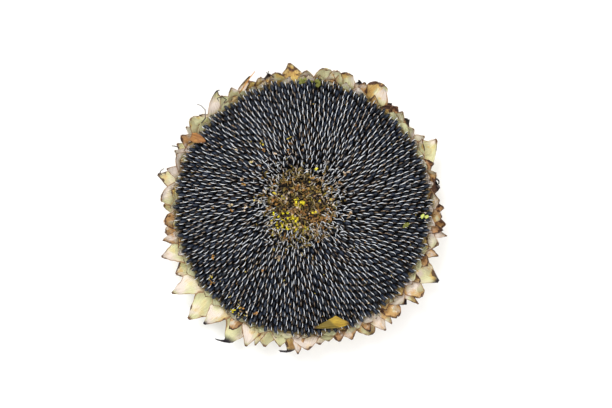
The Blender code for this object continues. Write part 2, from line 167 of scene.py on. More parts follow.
# Dark dried ends that curl off the bracts: radius in mm, tone, then points in mm.
THREADS = (
    (0.45, 0.5, (-44, 79.5, 30), (-40.5, 84.2, 33), (-36.2, 90.4, 34), (-34, 93.4, 32), (-33.4, 94.4, 31)),
    (0.4, 0, (-70, 58.8, 32), (-67.3, 62, 34), (-67.3, 67.6, 36), (-70.3, 70.6, 35), (-73, 71.6, 33)),
    (0.36, 0, (-54.6, 73, 30), (-53, 75, 31), (-55.8, 76.9, 31), (-59.4, 76, 31), (-58.2, 73.8, 31)),
    (0.42, 0, (-62.4, 76, 27), (-61.6, 78.2, 28), (-60.4, 80, 28), (-59.2, 81.2, 28), (-57.8, 81.8, 28)),
    (0.4, 0, (-99, 23.4, 20), (-99.9, 24.4, 22), (-99.2, 25.8, 23), (-98, 26.8, 23), (-97, 27.4, 23)),
    (0.45, 0, (-86.4, 42.2, 27), (-87.8, 42.6, 28), (-89, 42.9, 28), (-90, 43, 28), (-90.9, 43.1, 28)),
    (0.4, 0.1, (-27, 89.5, 28), (-25.6, 91, 30), (-24.8, 92.2, 31), (-24.2, 93.4, 31), (-23.7, 94.6, 31)),
    (0.45, 0.2, (-20.5, 90.6, 30), (-21.6, 91.6, 31), (-22.8, 92.4, 32), (-24.2, 93, 32), (-25.4, 93.6, 32)),
    (0.9, 0, (90.4, 25, 24), (92, 22, 26), (92, 18.6, 27), (93.4, 15.6, 27), (94.8, 13.8, 26)),
    (0.7, 0.2, (91.6, 20.4, 26), (93.2, 20, 27), (94.4, 18.6, 27), (94.4, 17.2, 27), (93.6, 16.4, 27)),
)

# Withered ray petals over the seeds, as in the solids, in mm from the axis.
Petal = namedtuple("Petal", "name root tip outline arch")
PETALS = (  # outline: share of the way from root to tip, width to the right and to the left
    Petal(
        "withered_petal_1",
        root=(31.6, -79.6),
        tip=(8.0, -82.6),
        outline=(
            (0, 0.8, 0.6), (0.12, 2.8, 1.4), (0.35, 6.6, 2.0),
            (0.6, 4.0, 1.6), (0.85, 1.6, 0.8), (1, 0.3, 0.3),
        ),
        arch=1.6,
    ),
    Petal(
        "withered_petal_2",
        root=(-77.5, 49.4),
        tip=(-67.2, 46.0),
        outline=((0, 2.6, 2.9), (0.3, 3.3, 3.6), (0.6, 2.4, 3.0), (0.85, 1.2, 1.6), (1, 0.3, 0.3)),
        arch=0.8,
    ),
)

# The heart and what lies loose on the seeds. In each table: mm from the axis, then the tone.
HEART_MIDDLE = Vector((-2.6, 0.6)) * MM
HEART_REACH = 24.5 * MM
HEART_CROWD = 860  # florets and crumbs, before the edge is thinned out
STRAYS = 110  # round the heart's edge
STRAY_TONES = (0.2, 0.34, 0.36, 0.4, 0.64, 0.76)
STYLES = 170  # threads on top
STYLE_TONES = (0.66, 0.68, 0.4, 0.34, 0.76)
STYLE_REACH = 27 * MM
LOOSE_BITS = 150  # all over the seeds
LOOSE_REACH = 86 * MM
LOOSE_TONES = (0.08, 0.18, 0.22, 0.26, 0.3, 0.36, 0.38, 0.42, 0.5, 0.54, 0.66, 0.75)
STRAY_HEAP = {"pieces": 5, "spread": 1.3, "rise": (0, 1.2), "lean": 1, "size": (0.5, 1), "blur": 0.05}
YELLOW_HEAP = {"pieces": 4, "spread": 0.8, "rise": (1.4, 2.6), "lean": 2, "size": (0.4, 0.75), "blur": 0.04}
SCRAP_HEAP = {"pieces": 3, "spread": 0.8, "rise": (0.6, 1.4), "lean": 2, "size": (0.5, 0.9), "blur": 0.02}
HEART_PATCHES = (  # which colour of floret lies where
    (-10, -6, 0.78), (-6, -10, 0.76), (-12, -10, 0.8), (-3, -13, 0.76), (3, -13, 0.74), (-2, 5, 0.78),
    (9, -8, 0.54), (12, -5, 0.53), (6, -12, 0.5), (-3, 12, 0.52), (1, 13, 0.5), (-18, 3, 0.44),
    (-8, 3, 0.36), (-2, -4, 0.44), (4, -5, 0.48), (5, 2, 0.36), (-5, -1, 0.62), (3, 6, 0.36),
    (-14, 7, 0.66), (-16, 13, 0.38), (-9, 14, 0.34), (-8, 21, 0.3), (3, 16, 0.36), (9, 13, 0.38),
    (12, 7, 0.66), (15, 9, 0.38), (8, 20, 0.38), (0, -9, 0.44), (-4, -17, 0.4), (12, -14, 0.48),
)
STRAY_HEAPS = (  # florets beyond the heart
    (-7.9, 26.2, 0.34), (-3.9, 20.5, 0.38), (2.5, 21, 0.3), (6, 21.3, 0.4), (8, 13.3, 0.36),
    (10.5, 18.8, 0.62), (15, 13.3, 0.64), (-19.8, 13.3, 0.66), (-23.7, 5.4, 0.36), (-24.7, 22.3, 0.34),
    (25.4, 15.6, 0.6), (30, -4, 0.6), (-19.8, -28.4, 0.36), (-17.3, -34.3, 0.64), (5.5, -23.4, 0.36),
    (30.9, 25.3, 0.6), (16, 26, 0.34), (-13.5, 20, 0.34), (-12, -20, 0.4), (19, 5, 0.62),
)
YELLOW_CLUMPS = (
    (9.2, 27.5, 0.98), (-4.4, 5, 0.95), (-0.1, 4.1, 0.95), (-20.1, -4.3, 0.96), (6.6, -3, 0.86),
    (-13.3, -8.3, 0.84), (-10.7, -13.6, 0.92), (-14.2, -12.3, 0.86), (-5.5, -14.7, 0.86), (2.1, -14, 0.82),
    (-5.8, -6.1, 0.82), (-19.6, 10, 0.84),
)
SCRAPS = (
    (-30.9, 29.3, 0.5), (-0.5, 15.6, 0.5), (-4, 13.4, 0.5), (14.5, -7.4, 0.52), (11, -9.3, 0.5),
    (16.8, -4.7, 0.52), (-20.4, 4.5, 0.5), (-27.5, 39.9, 0.5), (-28, 43.9, 0.77), (-8.9, 43.9, 0.5),
    (-9.6, 47.8, 0.77), (-10.2, 38.3, 0.48), (-35, 31.2, 0.71), (-42.2, 20.3, 0.62), (-40.9, 17.4, 0.44),
    (-45.5, 39.6, 0.71), (-39, 0.7, 0.62), (-50, 1.7, 0.71), (-48.5, -1.6, 0.44), (-31.8, 5, 0.72),
    (-26.5, 12.5, 0.62), (-19.4, 37, 0.62), (-64.6, -48, 0.77), (-63.2, -50.3, 0.46), (-62.3, -33.9, 0.46),
    (-48.5, -70.4, 0.88), (-44.5, -67.6, 0.76), (-42.7, -70.4, 0.46), (-44.8, -74.8, 0.71),
    (-39.9, -73.6, 0.71), (-33.2, -72.2, 0.52), (-27.5, -42.5, 0.5),
)
GREEN_SCRAPS = (  # the third number says how old
    (84.5, -6, 0), (72, -11.8, 0.85), (-0.6, 88.4, 0.82), (-0.8, 86.9, 0.9), (9.4, 87.2, 0.85),
    (8.9, 85.4, 0.9),
)


def deselect():
    if bpy.context.object and bpy.context.object.mode != "OBJECT":
        bpy.ops.object.mode_set(mode="OBJECT")
    bpy.ops.object.select_all(action="DESELECT")


def pick(thing, test):
    """Opens a mesh for editing with only the points selected whose places pass the test."""
    bpy.ops.object.mode_set(mode="OBJECT")
    for part in (thing.data.polygons, thing.data.edges):
        part.foreach_set("select", [False] * len(part))
    for point in thing.data.vertices:
        point.select = bool(test(point.co))
    bpy.context.tool_settings.mesh_select_mode = (True, False, False)
    bpy.ops.object.mode_set(mode="EDIT")


def finish_shape(thing, name, smooth=True):
    """Closes editing, leaves the place and size of the thing in its mesh, and names it."""
    bpy.ops.object.mode_set(mode="OBJECT")
    bpy.ops.object.transform_apply(location=True, rotation=True, scale=True)
    if smooth:
        bpy.ops.object.shade_smooth()
    thing.name = thing.data.name = name
    return thing


def add_wall(thing, thickness):
    wall = thing.modifiers.new("wall", "SOLIDIFY")
    wall.thickness = thickness
    wall.offset = 0
    bpy.ops.object.modifier_apply(modifier=wall.name)


def mark(thing, **values):
    """Writes a value per point, which the finishes read."""
    for name, value in values.items():
        layer = thing.data.attributes.new(name, "FLOAT", "POINT")
        layer.data.foreach_set("value", [value] * len(thing.data.vertices))


def joined(name, things):
    deselect()
    for thing in things:
        thing.select_set(True)
    bpy.context.view_layer.objects.active = things[0]
    bpy.ops.object.join()
    things[0].name = things[0].data.name = name
    return things[0]


def copy_of(model, matrix, **values):
    """A copy of a small model with its own mesh, put in place."""
    made = bpy.data.objects.new(model.name, model.data.copy())
    bpy.context.scene.collection.objects.link(made)
    made.data.transform(matrix)
    mark(made, **values)
    return made


def discard(models):
    for model in models:
        bpy.data.objects.remove(model)


def place(n):
    """Where the spiral puts place n, its turn round the heart, and its share of the radius."""
    share = ((n + 0.5) / PLACES) ** ((1 + CROWDING) / 2)
    turn = n * GOLDEN_ANGLE
    ring = Vector((math.cos(turn), math.sin(turn))) * share * SPIRAL_RADIUS
    return ring + HEART * (1 - share**2), turn, share


def flared(spot, share):
    """The outermost places, drawn together into a close ring over the rim."""
    near_rim = max(0.0, min(1.0, (share - 0.93) / 0.05))
    drawn = share + 0.55 * (1 - share) * near_rim
    ragged = 1.0 + 0.4 * noise.noise(Vector((spot[0], spot[1], 0)) * 60)
    return spot * (drawn / share + RIM_FLARE * ragged * share**12)


def face_height(x, y):
    share = math.hypot(x, y) / SPIRAL_RADIUS
    return CROWN - RIM_DROP * share**DOME_POWER


def lean_at(share):
    """How far the seeds lean outwards: hardly at the heart, strongly at the rim."""
    return RIM_LEAN * share**7 + math.radians(4) * share


def row_turn(share):
    """How far the seeds turn off the radius: most halfway out."""
    return ROW_TURN * math.sin(math.pi * share**1.3)


def wildness(spot):
    """1 beside the florets, 0 where the rows stand in order."""
    out = (Vector(spot) - HEART).length
    return max(0.0, min(1.0, (WILD_RADIUS - out) / (WILD_RADIUS - WILDEST_RADIUS)))


def standing(spot, height, heading, lean=0.0, tilt=0.0, size=1.0):
    """Where a small model goes: turned to its heading, leant outwards and tilted sideways."""
    turn = Matrix.Rotation(heading, 4, "Z") @ Matrix.Rotation(lean, 4, "Y") @ Matrix.Rotation(tilt, 4, "X")
    return Matrix.Translation((spot[0], spot[1], height)) @ turn @ Matrix.Scale(size, 4)


class Value:
    """A number that varies over a surface. Python's operators on it add Math nodes."""

    def __init__(self, finish, socket):
        self.finish, self.socket = finish, socket

    def __add__(self, other):
        return self.finish.maths("ADD", self, other)

    def __sub__(self, other):
        return self.finish.maths("SUBTRACT", self, other)

    def __rsub__(self, other):
        return self.finish.maths("SUBTRACT", other, self)

    def __mul__(self, other):
        return self.finish.maths("MULTIPLY", self, other)

    def __abs__(self):
        return self.finish.maths("ABSOLUTE", self)

    __radd__ = __add__
    __rmul__ = __mul__


class Finish:
    """A material in the making, round one Principled shader."""

    def __init__(self, name, **constants):
        self.material = bpy.data.materials.new(name)
        self.material.use_nodes = True
        self.tree = self.material.node_tree
        self.shader = self.tree.nodes["Principled BSDF"]
        for socket, value in constants.items():
            self.shader.inputs[socket.replace("_", " ")].default_value = value

    def put(self, socket, value):
        if isinstance(value, Value):
            self.tree.links.new(value.socket, socket)
        else:
            socket.default_value = value

    def node(self, kind, settings=None, sockets=None, out=0):
        """Any node: its settings first, then the values or links of its sockets."""
        made = self.tree.nodes.new(kind)
        for name, value in (settings or {}).items():
            if name == "stops":
                self.set_stops(made.color_ramp, value)
            else:
                setattr(made, name, value)
        for name, value in (sockets or {}).items():
            self.put(made.inputs[name], value)
        return Value(self, made.outputs[out])

    @staticmethod
    def set_stops(ramp, stops):
        while len(ramp.elements) > 1:
            ramp.elements.remove(ramp.elements[-1])
        for number, (position, colour) in enumerate(stops):
            stop = ramp.elements[0] if number == 0 else ramp.elements.new(position)
            stop.position = position
            stop.color = (*colour, 1)

    def maths(self, operation, *terms):
        return self.node("ShaderNodeMath", {"operation": operation}, dict(enumerate(terms)))

    def moved(self, vector, shift):
        return self.node("ShaderNodeVectorMath", {"operation": "ADD"}, {0: vector, 1: shift})

    def coordinates(self, kind="Object"):
        return self.node("ShaderNodeTexCoord", out=kind)

    def axis(self, vector, letter):
        return self.node("ShaderNodeSeparateXYZ", sockets={0: vector}, out=letter)

    def stretched(self, vector, scale):
        settings = {"operation": "MULTIPLY"}
        return self.node("ShaderNodeVectorMath", settings, {0: vector, 1: scale})

    def read(self, name):
        return self.node("ShaderNodeAttribute", {"attribute_name": name}, out="Fac")

    def grain(self, vector, scale, detail=3.0, roughness=0.5):
        sockets = {"Vector": vector, "Scale": scale, "Detail": detail, "Roughness": roughness}
        return self.node("ShaderNodeTexNoise", sockets=sockets, out="Fac")

    def step(self, value, low, high):
        """0 below low and 1 above high, with a soft passage."""
        settings = {"interpolation_type": "SMOOTHSTEP"}
        sockets = {"Value": value, "From Min": low, "From Max": high}
        return self.node("ShaderNodeMapRange", settings, sockets)

    def ramp(self, value, stops):
        return self.node("ShaderNodeValToRGB", {"stops": stops}, {"Fac": value})

    def mix(self, share, first, second):
        first, second = ((*c, 1) if isinstance(c, tuple) and len(c) == 3 else c for c in (first, second))
        return self.node("ShaderNodeMix", {"data_type": "RGBA"}, {0: share, 6: first, 7: second}, out=2)

    def wear(self, colour=None, roughness=None, height=None, distance=0.2 * MM):
        """Feeds the shader what varies over the surface."""
        if colour is not None:
            self.put(self.shader.inputs["Base Color"], colour)
        if roughness is not None:
            self.put(self.shader.inputs["Roughness"], roughness)
        if height is not None:
            sockets = {"Height": height, "Distance": distance}
            self.put(self.shader.inputs["Normal"], self.node("ShaderNodeBump", sockets=sockets))
        return self.material


def seed_hull():
    """Blue-black hulls with faint blue-grey stripes running down them, made pale enough to be partly a
    painted sheen.
    """
    finish = Finish("seed_hull", Specular_IOR_Level=0.35)
    stripes_round = finish.axis(finish.coordinates("UV"), "X")
    spot = finish.coordinates()
    clouds = finish.grain(spot, 260)
    tone = finish.read("tone")
    stripe = finish.maths("SINE", stripes_round * 50 + clouds * 6)
    base = finish.mix(tone, (0.002, 0.0026, 0.0045), (0.0105, 0.017, 0.034))
    # The hull's own stripes, paled also to stand in as a painted sheen on the seeds.
    stripes_and_painted_sheen = finish.mix(finish.step(stripe, 0.55, 1.0) * 0.6, base, (0.075, 0.10, 0.145))
    dusted = finish.mix(finish.step(clouds, 0.56, 0.72) * 0.3, stripes_and_painted_sheen, (0.14, 0.125, 0.11))
    return finish.wear(dusted, 0.22 + clouds * 0.25, stripe, 0.05 * MM)


def chaff_finish():
    """Dry chaff: near black at its foot as painted shade down between the seeds, and along its crest pale,
    blue-white in the middle as a painted highlight, and brown at the ends.
    """
    finish = Finish("chaff", Specular_IOR_Level=0.5)
    along_up = finish.coordinates("UV")
    along = abs(finish.axis(along_up, "X") - 0.5) * 2
    up = finish.axis(along_up, "Y")
    grain = finish.grain(finish.coordinates(), 900)
    tone = finish.read("tone") + (grain - 0.5) * 0.8
    # Brightest and blue-white in the middle of the crest: a painted highlight on the pale chaff.
    crest = finish.ramp(
        tone - finish.step(along, 0.2, 0.95) * 0.62,
        (
            (0.0, (0.05, 0.03, 0.02)),
            (0.2, (0.30, 0.20, 0.12)),
            (0.36, (0.58, 0.50, 0.42)),
            (0.5, (0.74, 0.77, 0.82)),
            (0.7, (0.88, 0.93, 1.0)),
            (0.9, (0.97, 0.99, 1.0)),
        ),
    )
    # The near-black foot is painted shade down between the seeds.
    colour = finish.mix(finish.step(up, 0.4, 0.85), (0.02, 0.018, 0.02), crest)
    return finish.wear(colour, 0.35, grain, 0.05 * MM)


def floret_finish():
    """Dried florets, from dark brown through olive and rust to pollen yellow."""
    finish = Finish("dried_floret", Specular_IOR_Level=0.25)
    grain = finish.grain(finish.coordinates(), 700)
    colour = finish.ramp(
        finish.read("tone") + (grain - 0.5) * 0.4,
        (
            (0.0, (0.018, 0.012, 0.010)),
            (0.2, (0.09, 0.058, 0.028)),
            (0.36, (0.26, 0.195, 0.05)),
            (0.50, (0.40, 0.185, 0.05)),
            (0.60, (0.34, 0.21, 0.09)),
            (0.66, (0.74, 0.62, 0.52)),
            (0.76, (0.42, 0.32, 0.04)),
            (0.88, (0.62, 0.49, 0.02)),
            (1.0, (0.82, 0.74, 0.03)),
        ),
    )
    dark = finish.step(grain, 0.47, 0.36) * 0.85
    return finish.wear(finish.mix(dark, colour, (0.014, 0.010, 0.008)), 0.7, grain, 0.15 * MM)


def bract_finish():
    """Papery bracts: cream, flushed green and yellow, veined, with brown margins and tips, and on dry ones
    one side darkened brown as painted shade, as if folded.
    """
    finish = Finish("bract", Specular_IOR_Level=0.3)
    across_along = finish.coordinates("UV")
    across = finish.axis(across_along, "X")
    along = finish.axis(across_along, "Y")
    spot = finish.coordinates()
    clouds = finish.grain(spot, 90, 2, 0.5)
    blotches = finish.grain(finish.moved(spot, (5, 3, 1)), 120, 3, 0.55)
    fibres = finish.grain(finish.stretched(across_along, (26, 1.6, 1)), 1.0, 4, 0.6)
    veins = finish.maths("SINE", across * 62 + fibres * 3)
    margin = abs(across - 0.5) * 2
    dry, green, tip = (finish.read(name) for name in ("dry", "green", "tip"))

    paper = finish.mix(finish.step(clouds, 0.4, 0.6), (0.80, 0.69, 0.60), (0.78, 0.72, 0.54))
    flushed = finish.mix(finish.step(clouds + green * 0.25, 0.52, 0.72) * 0.7, paper, (0.68, 0.69, 0.34))
    warm = finish.mix(finish.step(blotches, 0.5, 0.68) * (0.15 + dry), flushed, (0.74, 0.50, 0.15))
    rooted = finish.mix(finish.step(along, 0.42, 0.15) * 0.6, warm, (0.62, 0.56, 0.26))
    foot = finish.mix(finish.step(green, 0.3, 1.0), (0.56, 0.53, 0.27), (0.50, 0.55, 0.09))
    footed = finish.mix(finish.step(along, 0.2 + green * 0.2, 0.02) * 0.8, rooted, foot)
    veined = finish.mix(finish.step(fibres, 0.5, 0.75) * 0.35, footed, (0.58, 0.42, 0.24))
    dryness = dry * 0.85 + (blotches - 0.5) * (0.9 + dry * 1.4) + (fibres - 0.5) * 0.6 + along * 0.25 - 0.5
    tan = finish.mix(green * 1.4, (0.62, 0.31, 0.10), (0.74, 0.50, 0.12))
    tanned = finish.mix(finish.step(dryness, 0.0, 0.25) * 0.85, veined, tan)
    browned = finish.mix(finish.step(dryness, 0.3, 0.6) * 0.85, tanned, (0.34, 0.14, 0.055))
    # Painted shade: one side of a dry leaf darkened brown, as if it were folded over.
    crease = across + (clouds - 0.5) * 1.6 + (fibres - 0.5) * 0.1
    folded = finish.mix(finish.step(crease, 0.60, 0.66) * dry * 0.6, browned, (0.22, 0.105, 0.045))
    edge = margin + (blotches - 0.5) * 0.6 + (fibres - 0.5) * 0.2 + dry * 0.08
    edged = finish.mix(finish.step(edge, 0.88, 0.98) * 0.85, folded, (0.30, 0.15, 0.06))
    scorch = along * 0.6 + margin * 0.35 + (blotches - 0.5) * 1.6 + dry * 0.5
    scorched = finish.mix(finish.step(scorch, 1.0, 1.1) * 0.9, edged, (0.075, 0.036, 0.026))
    end = along + (fibres - 0.5) * 0.1
    ended = finish.mix(finish.step(end, 0.91, 0.98), scorched, (0.22, 0.11, 0.05))
    black = finish.mix(finish.step(end + tip * 0.35, 1.12, 1.26), ended, (0.03, 0.024, 0.03))
    return finish.wear(black, 0.5 + blotches * 0.3, veins * 0.4 + fibres, 0.3 * MM)


def petal_finish():
    """A withered ray petal: gold by its root, olive brown past its fold; the second one rust brown."""
    finish = Finish("withered_petal", Specular_IOR_Level=0.3)
    across_along = finish.coordinates("UV")
    across = finish.axis(across_along, "X")
    along = finish.axis(across_along, "Y")
    fibres = finish.grain(finish.stretched(across_along, (20, 2, 1)), 1.0, 4, 0.6)
    dry = finish.read("dry")
    gold = finish.mix(finish.step(fibres, 0.35, 0.65), (0.24, 0.14, 0.02), (0.52, 0.35, 0.035))
    past_fold = finish.step(along + across * 0.3 + (fibres - 0.5) * 0.1, 0.52, 0.60) * 0.8
    folded = finish.mix(past_fold, gold, (0.12, 0.09, 0.015))
    ends = finish.step(abs(along - 0.5) * 2 + fibres * 0.4, 0.95, 1.25)
    worn = finish.mix(ends, folded, (0.12, 0.06, 0.025))
    rust = finish.mix(finish.step(fibres, 0.4, 0.65), (0.22, 0.08, 0.03), (0.46, 0.20, 0.07))
    return finish.wear(finish.mix(dry, worn, rust), 0.6, fibres + abs(across - 0.5), 0.3 * MM)


def receptacle_finish():
    """The green-yellow back with its ribs and brown stains, dark brown painted shade on the top of the rim,
    and the white pith of the cut stalk.
    """
    finish = Finish("receptacle", Specular_IOR_Level=0.3)
    spot = finish.coordinates()
    x, y, height = (finish.axis(spot, letter) for letter in "XYZ")
    out = finish.maths("SQRT", x * x + y * y)
    stains = finish.grain(spot, 45, 5, 0.6)
    grain = finish.grain(spot, 420, 3)
    ribs = finish.maths("SINE", finish.maths("ARCTAN2", y, x) * 104 + stains * 2)
    skin = finish.mix(finish.step(stains, 0.35, 0.7), (0.50, 0.52, 0.22), (0.68, 0.62, 0.36))
    ribbed = finish.mix(finish.step(ribs, 0.2, 1.0) * 0.25, skin, (0.76, 0.73, 0.50))
    stained = finish.mix(finish.step(stains, 0.60, 0.74) * 0.6, ribbed, (0.30, 0.18, 0.08))
    # Painted shade: the top of the rim, seen between the seeds and the bracts, darkened brown.
    painted_shade_top = finish.mix(finish.step(height, 21 * MM, 24 * MM), stained, (0.20, 0.15, 0.06))
    pith = finish.mix(finish.step(grain, 0.4, 0.7), (0.86, 0.83, 0.74), (0.68, 0.62, 0.48))
    rind = finish.mix(finish.step(out, 12.4 * MM, 13.6 * MM), pith, (0.42, 0.36, 0.17))
    cut = finish.step(height, 0.35 * MM, 0.1 * MM)
    return finish.wear(finish.mix(cut, painted_shade_top, rind), 0.75, grain + stains, 0.4 * MM)


def painted_shade_bed_finish():
    """The ground between the seeds, near black as painted shade."""
    finish = Finish("seed_bed", Roughness=0.9)
    grain = finish.grain(finish.coordinates(), 600)
    return finish.wear(finish.mix(grain, (0.006, 0.005, 0.005), (0.035, 0.022, 0.014)), height=grain)


def moist_finish():
    """Fresh green scraps, the older ones a dark olive."""
    finish = Finish("green_scrap", Roughness=0.5, Specular_IOR_Level=0.3)
    grain = finish.grain(finish.coordinates(), 500)
    fresh = finish.mix(grain, (0.34, 0.38, 0.03), (0.68, 0.74, 0.24))
    old = finish.mix(grain, (0.035, 0.035, 0.002), (0.14, 0.135, 0.01))
    return finish.wear(finish.mix(finish.read("dry"), fresh, old), height=grain)


def thread_finish():
    """Dried bract ends, black or rusty."""
    finish = Finish("dark_thread", Specular_IOR_Level=0.3, Roughness=0.6)
    grain = finish.grain(finish.coordinates(), 300)
    rust = finish.mix(finish.step(grain, 0.4, 0.6), (0.45, 0.19, 0.05), (0.60, 0.33, 0.10))
    black = finish.mix(grain, (0.02, 0.018, 0.025), (0.10, 0.07, 0.06))
    return finish.wear(finish.mix(finish.step(finish.read("tone"), 0.2, 0.5), black, rust), height=grain)


def table_finish():
    """A matt white top, hardly mottled."""
    finish = Finish("table", Roughness=0.9)
    grain = finish.grain(finish.coordinates(), 40)
    return finish.wear(finish.mix(grain, (0.93, 0.93, 0.93), (0.95, 0.95, 0.95)))


def turned(name, profile, around):
    """A round body raised ring by ring from a filled circle. The last ring stays closed."""
    deselect()
    radius, height = profile[0]
    bpy.ops.mesh.primitive_circle_add(
        vertices=around, radius=radius, fill_type="NGON", location=(0, 0, height)
    )
    body = bpy.context.object
    bpy.ops.object.transform_apply(location=True)
    bpy.ops.object.mode_set(mode="EDIT")
    bpy.ops.mesh.select_all(action="SELECT")
    for next_radius, next_height in profile[1:]:
        bpy.ops.mesh.extrude_region_move(TRANSFORM_OT_translate={"value": (0, 0, next_height - height)})
        ratio = next_radius / radius
        bpy.ops.transform.resize(value=(ratio, ratio, 1), center_override=(0, 0, next_height))
        radius, height = next_radius, next_height
    bpy.ops.mesh.select_all(action="SELECT")
    bpy.ops.mesh.normals_make_consistent(inside=False)
    return finish_shape(body, name)


def smooth_profile(points, steps):
    """A profile with extra rings between its own, on a soft curve through them."""
    rings = []
    last = len(points) - 1
    for number in range(last):
        before, start = points[max(number - 1, 0)], points[number]
        end, after = points[number + 1], points[min(number + 2, last)]
        for step in range(steps):
            t = step / steps
            ring = []
            for a, b, c, d in zip(before, start, end, after):
                cubic = t * (3 * (b - c) + d - a)
                ring.append(b + 0.5 * t * (c - a + t * (2 * a - 5 * b + 4 * c - d + cubic)))
            rings.append(tuple(ring))
    rings.append(points[-1])
    return rings


def build_receptacle():
    """The whole skin of the receptacle, with ribs and lumps on its back."""
    profile = [*STUMP, *smooth_profile(BACK, 4), *RIM]
    body = turned("receptacle_skin", [(out * MM, up * MM) for out, up in profile], 312)
    for point in body.data.vertices:
        out = math.hypot(point.co.x, point.co.y)
        if point.co.z > 0.4 * MM and out > 16 * MM:
            angle = math.atan2(point.co.y, point.co.x)
            fade = min(1, (out / MM - 16) / 12) * max(0, min(1, (87.5 - out / MM) / 6))
            rib = abs(math.sin(angle * RIBS)) ** 0.7 + 0.35 * math.sin(angle * 73 + out * 90)
            lump = noise.noise(point.co * 130) * 0.9 + noise.noise(point.co * 420) * 0.35
            if point.co.z < 18 * MM:
                point.co.z += (1.3 * (1 - rib) * fade + lump * fade * 0.8) * MM
            else:
                point.co *= 1 + 0.0015 * lump
    return body


def build_seed_bed():
    """The ground between the seeds, near black as painted shade, and the cushion under the florets."""
    rings = [(84, 26.2), (86, 27.4)]
    for out in (85.5, 80, 70, 60, 45, 30, 20):
        rings.append((out, (face_height(out * MM, 0) / MM) - 5.5))
    rings += [(17, CROWN / MM - 3.4), (10, CROWN / MM - 2.4), (4, CROWN / MM - 2.2)]
    return turned("seed_bed", [(out * MM, up * MM) for out, up in rings], 96)


def seed_model(name, shoulder, root):
    """One seed on end, its broad crown at the origin."""
    deselect()
    bpy.ops.mesh.primitive_uv_sphere_add(segments=8, ring_count=6, radius=1, location=(0, 0, 0))
    seed = bpy.context.object
    bpy.ops.object.mode_set(mode="EDIT")
    half = (SEED_BREADTH / 2, SEED_THICKNESS / 2, SEED_LENGTH / 2)
    bpy.ops.transform.resize(value=half, center_override=(0, 0, 0))
    pick(seed, lambda co: co.z > 0.2 * SEED_LENGTH)
    bpy.ops.transform.resize(value=(shoulder, shoulder, 1), center_override=(0, 0, 0))
    pick(seed, lambda co: co.z < -0.2 * SEED_LENGTH)
    bpy.ops.transform.resize(value=(root, root, 1), center_override=(0, 0, 0))
    bpy.ops.mesh.select_all(action="SELECT")
    bpy.ops.transform.translate(value=(0, 0, -SEED_LENGTH / 2))
    return finish_shape(seed, name)


def chaff_model(name, length, height, lip, bow):
    """A thin upright blade that bows round a seed, its crest bent over, highest and widest in the middle."""
    deselect()
    bpy.ops.mesh.primitive_grid_add(x_subdivisions=6, y_subdivisions=4, size=2, calc_uvs=True)
    blade = bpy.context.object
    for point in blade.data.vertices:
        along = point.co.x
        up, side = CHAFF_PROFILE[round(point.co.y * 2) / 2]
        taper = 1 - abs(along) ** 1.7
        point.co.x = along * length / 2
        point.co.y = (side * lip * (0.15 + 0.85 * taper) + bow * (0.5 - along**2)) * MM
        point.co.z = (up + height * taper * (up > 0) - 1.1 * along**2) * MM
    add_wall(blade, CHAFF_WALL)
    return finish_shape(blade, name)


def floret_model(name, sides, flare, length):
    """A dried tube flower: a narrow tube that opens into crumpled lobes."""
    deselect()
    bpy.ops.mesh.primitive_cylinder_add(
        vertices=sides, radius=0.45 * MM, depth=length * 0.5, end_fill_type="NOTHING", location=(0, 0, 0)
    )
    tube = bpy.context.object
    for size, rise in ((flare, 0.3), (0.85, 0.14)):
        top = max(point.co.z for point in tube.data.vertices)
        pick(tube, lambda co: co.z > top - 0.01 * MM)
        bpy.ops.mesh.extrude_region_move(TRANSFORM_OT_translate={"value": (0, 0, length * rise)})
        bpy.ops.transform.resize(value=(size, size, 1), center_override=(0, 0, 0))
    bpy.ops.object.mode_set(mode="OBJECT")
    for number, point in enumerate(tube.data.vertices):
        if point.co.z > 0.3 * length:
            point.co.z -= 0.16 * length * (number % 2)
            point.co.x *= 1 + 0.3 * (number % 2)
            point.co.y *= 1 + 0.3 * (number % 3 == 0)
    add_wall(tube, FLORET_WALL)
    return finish_shape(tube, name)


def crumb_model(name, squash):
    """A rough lump the size of a pinhead."""
    deselect()
    bpy.ops.mesh.primitive_ico_sphere_add(subdivisions=2, radius=1 * MM, location=(0, 0, 0))
    crumb = bpy.context.object
    for point in crumb.data.vertices:
        point.co *= 1 + 0.55 * noise.noise(point.co * 1400 + Vector((squash, 0, 0)))
        point.co.z *= squash
    return finish_shape(crumb, name, smooth=False)


def thread_model(name, length, bend):
    """A thin curled thread, such as a dried style."""
    deselect()
    bpy.ops.mesh.primitive_cylinder_add(vertices=5, radius=0.16 * MM, depth=length, location=(0, 0, 0))
    thread = bpy.context.object
    bpy.ops.object.mode_set(mode="EDIT")
    bpy.ops.transform.rotate(value=math.pi / 2, orient_axis="Y", center_override=(0, 0, 0))
    for cut in (-0.3, -0.1, 0.1, 0.3):
        bpy.ops.mesh.select_all(action="SELECT")
        bpy.ops.mesh.bisect(plane_co=(cut * length, 0, 0), plane_no=(1, 0, 0))
    bpy.ops.object.mode_set(mode="OBJECT")
    for point in thread.data.vertices:
        along = point.co.x / length
        point.co.y += bend * along**2 * MM
        point.co.z += 0.9 * bend * abs(along) ** 3 * MM
    return finish_shape(thread, name)


def build_seeds(chance):
    """Every seed on its place, jogged a little, and a little lower and smaller beside the florets."""
    models = [seed_model(f"seed_{number}", 1.12 + 0.07 * number, 0.72) for number in range(3)]
    placed = []
    for n in range(FLORET_PLACES, PLACES):
        spot, turn, share = place(n)
        wild = wildness(spot)
        shift = Vector((chance.gauss(0, 0.22), chance.gauss(0, 0.22))) * MM
        height = face_height(*spot) + chance.uniform(-0.7, 0.3) * MM - 0.8 * wild * MM
        matrix = standing(
            flared(spot, share) + shift,
            height,
            turn + row_turn(share) + chance.gauss(0, 0.07 + 0.12 * wild),
            lean_at(share) + chance.gauss(0, 0.06),
            chance.gauss(0, 0.08),
            (1.0 - 0.08 * wild) * chance.uniform(0.9, 1.04),
        )
        placed.append(copy_of(chance.choice(models), matrix, tone=chance.random() ** 1.3))
    discard(models)
    return joined("seeds_standing", placed)


